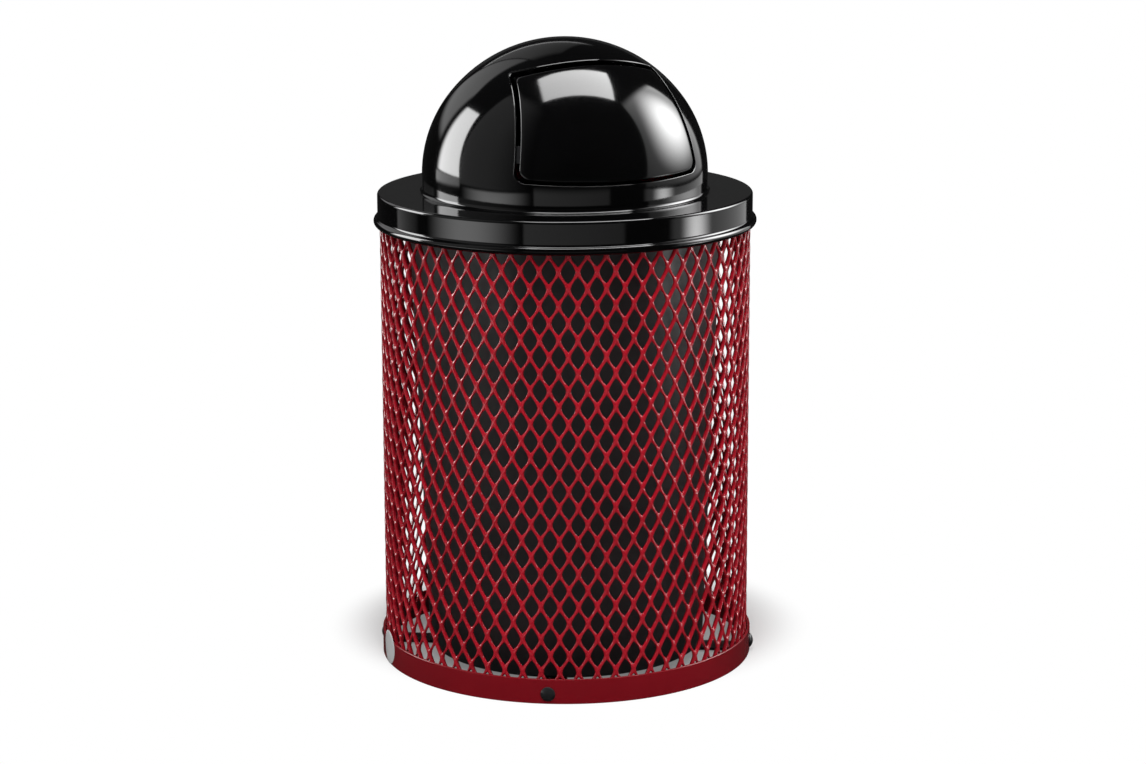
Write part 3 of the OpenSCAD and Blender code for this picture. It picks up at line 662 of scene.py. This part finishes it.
inner = ([(skirt_r - lid_t, bead_z - bead_tuck)]
         + arc((skirt_r - rim_edge, rim_z - rim_edge), rim_edge - lid_t, 0, 90, 4)
         + arc((dome_r + foot_bend, rim_z + foot_bend), foot_bend + lid_t, 270, 180, 6)
         + arc((side_x, rim_z + dome_foot), dome_side_r - lid_t, 0, crown_deg, 24)
         + arc((0, rim_z + crown_z), crown_r - lid_t, crown_deg, 90, 30)[1:])
bm = hoop(outer + inner, lid_steps, closed=False)

half_w, lean, bow = 0.146, math.radians(12.5), 0.005
sill, sill_r, door_top, door_top_r, door_corner = 0.039, 2.8, 0.207, 0.373, 0.013
door_gap = 0.005
rise = door_top - sill
side_chord = rise / math.cos(lean)
side_r = side_chord ** 2 / (8 * bow) + bow / 2
side_c = Vector((half_w - rise * math.tan(lean) / 2 - (side_r - bow) * math.cos(lean),
                 sill + rise / 2 - (side_r - bow) * math.sin(lean)))
top_c = Vector((0, door_top - door_top_r))
sill_c = Vector((0, sill + sill_r))


def crossing(c1, r1, c2, r2, upper):
    """Where two circles cross: the crossing furthest right, or for a lower corner the one by the sill."""
    gap = c2 - c1
    along = (gap.length ** 2 + r1 ** 2 - r2 ** 2) / (2 * gap.length)
    off = math.sqrt(r1 ** 2 - along ** 2)
    way = gap.normalized()
    foot = c1 + way * along
    both = [foot + Vector((-way.y, way.x)) * off, foot - Vector((-way.y, way.x)) * off]
    return max(both, key=lambda p: p.x if upper else -abs(p.y - sill))


def opening_line(inset):
    """The door opening's outline seen from the front, anticlockwise from the middle of its sill."""
    shrink = inset + door_corner
    high = crossing(side_c, side_r - shrink, top_c, door_top_r - shrink, True)
    low = crossing(side_c, side_r - shrink, sill_c, sill_r - shrink, False)

    def turn(point, centre):
        return math.degrees(math.atan2(point.y - centre.y, point.x - centre.x))

    right = (arc(sill_c, sill_r - inset, 270, 360 + turn(low, sill_c), 24)
             + arc(low, door_corner, turn(low, sill_c), turn(low, side_c), 10)[1:]
             + arc(side_c, side_r - inset, turn(low, side_c), turn(high, side_c), 40)[1:]
             + arc(high, door_corner, turn(high, side_c), turn(high, top_c), 10)[1:]
             + arc(top_c, door_top_r - inset, turn(high, top_c), 90, 24)[1:])
    return right + [(-x, z) for x, z in right[-2:0:-1]]


def on_dome(x, height, depth):
    """The point behind the dome's outer face that is seen from the front at x and a height."""
    turn_z = crown_z + crown_r * math.sin(crown_end)
    if height < dome_foot:
        reach, slope = dome_r, 0.0
    elif height < turn_z:
        reach = side_x + math.sqrt(dome_side_r ** 2 - (height - dome_foot) ** 2)
        slope = math.asin((height - dome_foot) / dome_side_r)
    else:
        reach = math.sqrt(crown_r ** 2 - (height - crown_z) ** 2)
        slope = math.asin((height - crown_z) / crown_r)
    y = -math.sqrt(reach ** 2 - x ** 2)
    outward_way = Vector((x / reach * math.cos(slope), y / reach * math.cos(slope), math.sin(slope)))
    return Vector((x, y, rim_z + height)) - outward_way * depth


def loft(bm, lines):
    """Joins closed lines of equal length, each a list of points, into one skin."""
    rings = []
    for line in lines:
        verts = [bm.verts.new(p) for p in line]
        rings.append([bm.edges.new((verts[i], verts[(i + 1) % len(verts)])) for i in range(len(verts))])
    for near, far in zip(rings, rings[1:]):
        bmesh.ops.bridge_loops(bm, edges=near + far)
    return rings


hem_bend, hem_depth, hem_t = 0.0010, 0.0075, 0.001
bend_angles = [math.radians(15 * i) for i in range(7)]
cut_from, cut_length = 0.03, 0.3         # towards the door, clear of the dome inside and outside
cut = bmesh.new()
cut_line = opening_line(-hem_bend)
face = cut.faces.new([cut.verts.new((x, -cut_from, rim_z + z)) for x, z in cut_line])
front = bmesh.ops.extrude_face_region(cut, geom=[face])["geom"]
bmesh.ops.translate(cut, vec=(0, -cut_length, 0),
                    verts=[v for v in front if isinstance(v, bmesh.types.BMVert)])
bmesh.ops.recalc_face_normals(cut, faces=cut.faces[:])
cut_mesh = bpy.data.meshes.new("opening_cut")
cut.to_mesh(cut_mesh)
cut.free()
cutter = bpy.data.objects.new("opening_cut", cut_mesh)
bpy.context.scene.collection.objects.link(cutter)
whole_mesh = bpy.data.meshes.new("whole_lid")
bm.to_mesh(whole_mesh)
bm.free()
whole = bpy.data.objects.new("whole_lid", whole_mesh)
bpy.context.scene.collection.objects.link(whole)
opening = whole.modifiers.new("opening", "BOOLEAN")
opening.operation = "DIFFERENCE"
opening.solver = "EXACT"
opening.object = cutter
cut_lid = bpy.data.meshes.new_from_object(whole.evaluated_get(bpy.context.evaluated_depsgraph_get()))
bpy.data.objects.remove(whole)
bpy.data.objects.remove(cutter)
bm = bmesh.new()
bm.from_mesh(cut_lid)
bpy.data.meshes.remove(cut_lid)
dome_lid = piece_of(bm, "dome_lid", black_gloss, "lid", "black_gloss", "lid_shell")
dome_lid.data.set_sharp_from_angle(angle=sharp_from)

bm = bmesh.new()
turned = [(-hem_bend * (1 - math.sin(a)), hem_bend * (1 - math.cos(a))) for a in bend_angles]
turned.append((0, hem_depth))
loft(bm, [[on_dome(x, z, depth) for x, z in opening_line(inset)] for inset, depth in turned])
bmesh.ops.recalc_face_normals(bm, faces=bm.faces[:])
opening_hem = piece_of(bm, "opening_hem", black_gloss, "lid", "black_gloss")
hem_wall = opening_hem.modifiers.new("wall", "SOLIDIFY")
hem_wall.thickness = hem_t
hem_wall.offset = -1


# ---- Push door ----
# Pressed from the same curve as the dome, with its edge bent in to a stiff lip all round. It hangs
# on a rod from two ears and swings into the dome. Coated gloss black, and plain.
lip_bend, lip_depth = 0.0022, 0.006
door_rings = 40
lines = []
for inset, depth in ([(door_gap, lip_depth), (door_gap, (lip_depth + lip_bend) / 2)]
                     + [(door_gap + lip_bend * (1 - math.cos(a)), lip_bend * (1 - math.sin(a)))
                        for a in bend_angles]):
    lines.append([on_dome(x, z, depth) for x, z in opening_line(inset)])
face_line = opening_line(door_gap + lip_bend)
middle_z = (sill + door_top) / 2
for ring in range(door_rings - 1, 0, -1):
    inward = ring / door_rings
    lines.append([on_dome(x * inward, middle_z + (z - middle_z) * inward, 0) for x, z in face_line])
bm = bmesh.new()
rings = loft(bm, lines)
bmesh.ops.contextual_create(bm, geom=rings[-1])
last = max(bm.faces, key=lambda f: len(f.verts))
hub = bmesh.ops.poke(bm, faces=[last])["verts"][0]
hub.co = on_dome(0, middle_z, 0)
bmesh.ops.recalc_face_normals(bm, faces=bm.faces[:])
if max(bm.faces, key=lambda f: f.calc_area()).normal.y > 0:
    bmesh.ops.reverse_faces(bm, faces=bm.faces[:])
push_door = piece_of(bm, "push_door", black_gloss, "door", "black_gloss", "door_panel")
door_wall = push_door.modifiers.new("wall", "SOLIDIFY")
door_wall.thickness = lid_t
door_wall.offset = -1


# ---- Door springs ----
# Two torsion springs of plain drawn wire, wound on the hinge rod. One leg of each presses on the
# door's inside, and the other is held against the dome.
rod_y, rod_z = -0.052, rim_z + 0.180
wire_r, coil_r, coil_turns = 0.0012, 0.0063, 8
coil_start, coil_length, coil_steps, wire_sides = 0.056, 0.020, 20, 8
leg_length, leg_tilt = 0.1055, math.radians(12)
spring_steel = finish("spring_steel", (0.46, 0.46, 0.48, 1), 0.30, metallic=1.0, grain=2200, drift=0.15)
for side, name in ((-1, "left"), (1, "right")):
    bm = bmesh.new()
    upright = Matrix.Rotation(math.pi / 2, 4, "Y") @ Matrix.Rotation(math.pi / 2, 4, "X")
    wire = bmesh.ops.create_circle(bm, segments=wire_sides, radius=wire_r, matrix=upright)["verts"]
    bmesh.ops.rotate(bm, cent=(0, 0, 0), matrix=Matrix.Rotation(math.pi / 2, 3, "X"), verts=wire)
    bmesh.ops.translate(bm, vec=(side * (coil_start + wire_r), rod_y, rod_z - coil_r), verts=wire)
    steps = coil_steps * coil_turns
    pitch = (coil_length - 2 * wire_r) / steps
    bmesh.ops.spin(bm, geom=bm.verts[:] + bm.edges[:], cent=(0, rod_y, rod_z), axis=(side, 0, 0),
                   dvec=(side * pitch, 0, 0), angle=2 * math.pi * coil_turns, steps=steps)
    leg_x = side * (coil_start + 2 * wire_r)
    leg_start = Vector((leg_x, rod_y, rod_z - coil_r))
    leg_end = leg_start + Vector((0, -math.cos(leg_tilt), -math.sin(leg_tilt))) * leg_length
    bmesh.ops.create_cone(bm, cap_ends=True, segments=wire_sides, radius1=wire_r, radius2=wire_r,
                          depth=(leg_end - leg_start).length,
                          matrix=Matrix.Translation((leg_start + leg_end) / 2)
                          @ (leg_end - leg_start).to_track_quat("Z", "Y").to_matrix().to_4x4())
    bmesh.ops.recalc_face_normals(bm, faces=bm.faces[:])
    piece_of(bm, f"door_spring_{name}", spring_steel, "door", "spring_steel", f"spring_{name}")


# ---- Round disc ----
# A plain film disc stuck on the bottom band by its left end. It laps over the band's upper edge.
disc_r, disc_t, disc_edge = 0.026, 0.0005, 0.0002
disc_turn, disc_height = math.radians(-94.3), 0.0265
film = finish("label_film", (0.62, 0.62, 0.62, 1), 0.38, grain=500, drift=0.03)
rings = [disc_r * part for part in (0, 0.3, 0.6, 0.9)]
bm = hoop([(r, disc_t) for r in rings] + [(disc_r - disc_edge, disc_t), (disc_r, disc_edge)]
          + [(r, 0) for r in reversed(rings)], 64, closed=False)
for v in bm.verts:
    turn, reach = disc_turn + v.co.x / band_out, band_out + v.co.z
    v.co = Vector((reach * math.sin(turn), -reach * math.cos(turn), disc_height + v.co.y))
bmesh.ops.recalc_face_normals(bm, faces=bm.faces[:])
piece_of(bm, "round_disc", film, "can", "label_film", "label_disc")


# ---- Hinge, stops and glides ----
# The smaller pieces keep their made shapes, each with the finish that it is bought in.
nylon = finish("glide_nylon", (0.02, 0.02, 0.02, 1), 0.5, grain=1800)
rubber = finish("bumper_rubber", (0.012, 0.012, 0.012, 1), 0.75, grain=2400, grain_height=0.00008)
finishes = {"black_steel": black_steel, "zinc_plate": zinc_plate, "spring_steel": spring_steel,
            "glide_plastic": nylon, "bumper_rubber": rubber, "label_film": film,
            "red_coat": red_coat, "black_gloss": black_gloss, "liner_plastic": liner_plastic}
for part in frame["record"]["subparts"]:
    for slot in cad[part["node"]].material_slots:
        slot.material = finishes[part["material_slot"]]
